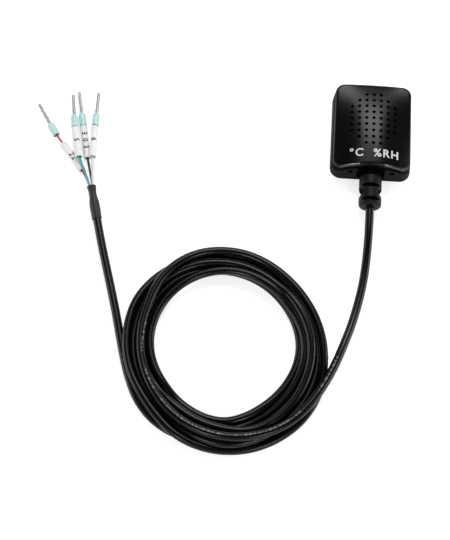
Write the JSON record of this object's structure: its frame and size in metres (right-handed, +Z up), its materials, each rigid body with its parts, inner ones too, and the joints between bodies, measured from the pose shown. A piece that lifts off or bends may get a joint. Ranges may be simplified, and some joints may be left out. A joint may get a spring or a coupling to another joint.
{
  "type": "dew point sensor",
  "caption": "Small flat black case with a crowned perforated cover, a slotted strain relief boot and a thin coiled cable whose coloured cores end in marked, insulated ferrules.",
  "frame": {"origin": "middle of the case's flat back, which lies on the floor", "axes": "+Z up out of the grille, +Y along the case away from the cable, +X to the right with the grille up"},
  "size_m": [0.1666, 0.1701, 0.0142],
  "materials": {
    "case_plastic": "satin moulded black",
    "boot_rubber": "satin black",
    "cable_jacket": "semi-gloss black",
    "heat_shrink": "matte black",
    "core_red": "semi-gloss",
    "core_teal": "semi-gloss",
    "core_black": "semi-gloss",
    "core_white": "semi-gloss",
    "marker_white": "satin",
    "collar_aqua": "slightly translucent",
    "tinned_copper": "tin plated",
    "board_green": "solder mask",
    "chip_black": "moulded epoxy",
    "capacitor_tan": "ceramic",
    "sensor_white": "moulded",
    "solder": "tin"
  },
  "bodies": {
    "root": {"front_cover": "case_plastic", "rear_cover": "case_plastic", "strain_relief_boot": "boot_rubber", "circuit_board": "board_green", "humidity_sensor": "sensor_white", "microcontroller": "chip_black", "bus_transceiver": "chip_black", "voltage_regulator": "chip_black", "protection_diode": "chip_black", "bulk_capacitor": "capacitor_tan", "ceramic_capacitors": "capacitor_tan", "chip_resistors": "chip_black", "cable_inner_end": "cable_jacket", "inner_core_ends": "core_white", "solder_joints": "solder", "cable_coil": "cable_jacket", "cable_lead": "cable_jacket", "cable_tail": "cable_jacket", "shrink_sleeve": "heat_shrink", "core_red": "core_red", "marker_sleeve_red": "marker_white", "ferrule_collar_red": "collar_aqua", "ferrule_pin_red": "tinned_copper", "core_teal": "core_teal", "marker_sleeve_teal": "marker_white", "ferrule_collar_teal": "collar_aqua", "ferrule_pin_teal": "tinned_copper", "core_black": "core_black", "marker_sleeve_black": "marker_white", "ferrule_collar_black": "collar_aqua", "ferrule_pin_black": "tinned_copper", "core_white": "core_white", "marker_sleeve_white": "marker_white", "ferrule_collar_white": "collar_aqua", "ferrule_pin_white": "tinned_copper"}
  },
  "joints": []
}
